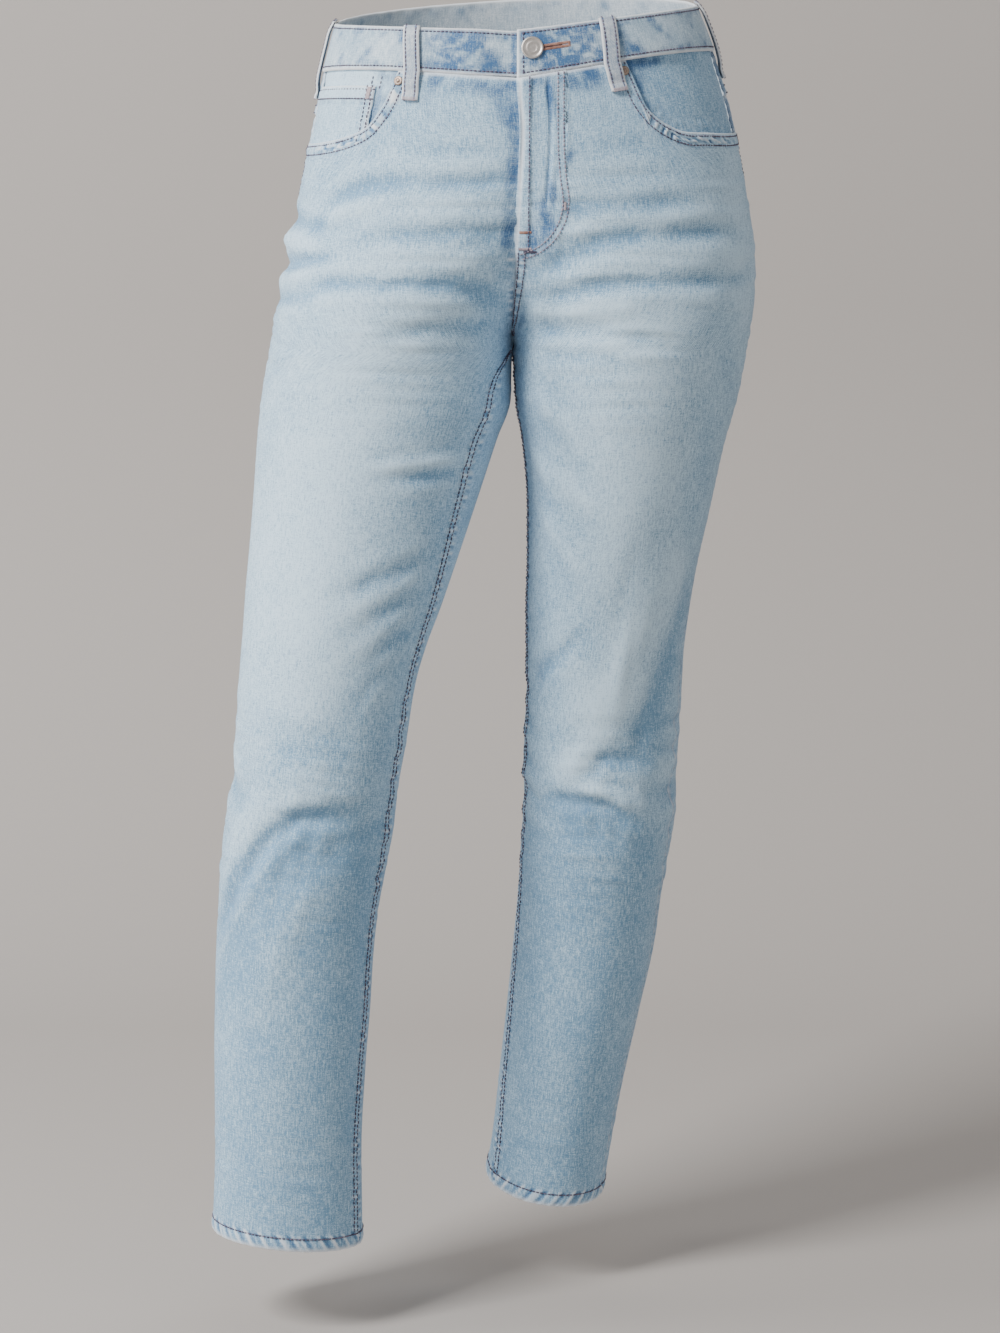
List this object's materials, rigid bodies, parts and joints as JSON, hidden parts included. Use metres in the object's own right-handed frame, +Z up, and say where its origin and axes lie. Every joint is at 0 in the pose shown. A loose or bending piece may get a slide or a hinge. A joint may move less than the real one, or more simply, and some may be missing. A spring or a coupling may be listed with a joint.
{
  "type": "jeans",
  "caption": "High-waisted tapered denim jeans in worn, hollow form: open waist and hems, yokes, scooped front pockets, patch back pockets, loops, button.",
  "frame": {"origin": "centre of the waistband's ring, at half its height, where the wearer holds the garment up", "axes": "+Z up, -Y to the front, +X towards the wearer's left; the garment hangs down from the origin"},
  "size_m": [0.4314, 0.2685, 0.9863],
  "materials": {
    "denim": "light washed cotton twill, matt",
    "denim_inside": "denim of facings and fly shield, matt",
    "pocketing": "plain cotton pocketing, matt",
    "zip_tape": "woven zip tape with a closed chain",
    "metal": "antique silver, satin with dull recesses"
  },
  "bodies": {
    "root": {"front_right": "denim", "front_left": "denim", "back_right": "denim", "back_left": "denim", "yoke_right": "denim", "yoke_left": "denim", "waistband": "denim", "coin_pocket": "denim", "back_pocket_right": "denim", "back_pocket_left": "denim", "belt_loop_front_right": "denim", "belt_loop_front_left": "denim", "belt_loop_side_right": "denim", "belt_loop_side_left": "denim", "belt_loop_back": "denim", "pocket_facing_right": "denim_inside", "pocket_facing_left": "denim_inside", "fly_shield": "denim_inside", "pocket_bag_right": "pocketing", "pocket_bag_left": "pocketing", "zip": "zip_tape", "zip_slider": "metal", "button": "metal", "rivet_right": "metal", "rivet_left": "metal"}
  },
  "joints": []
}
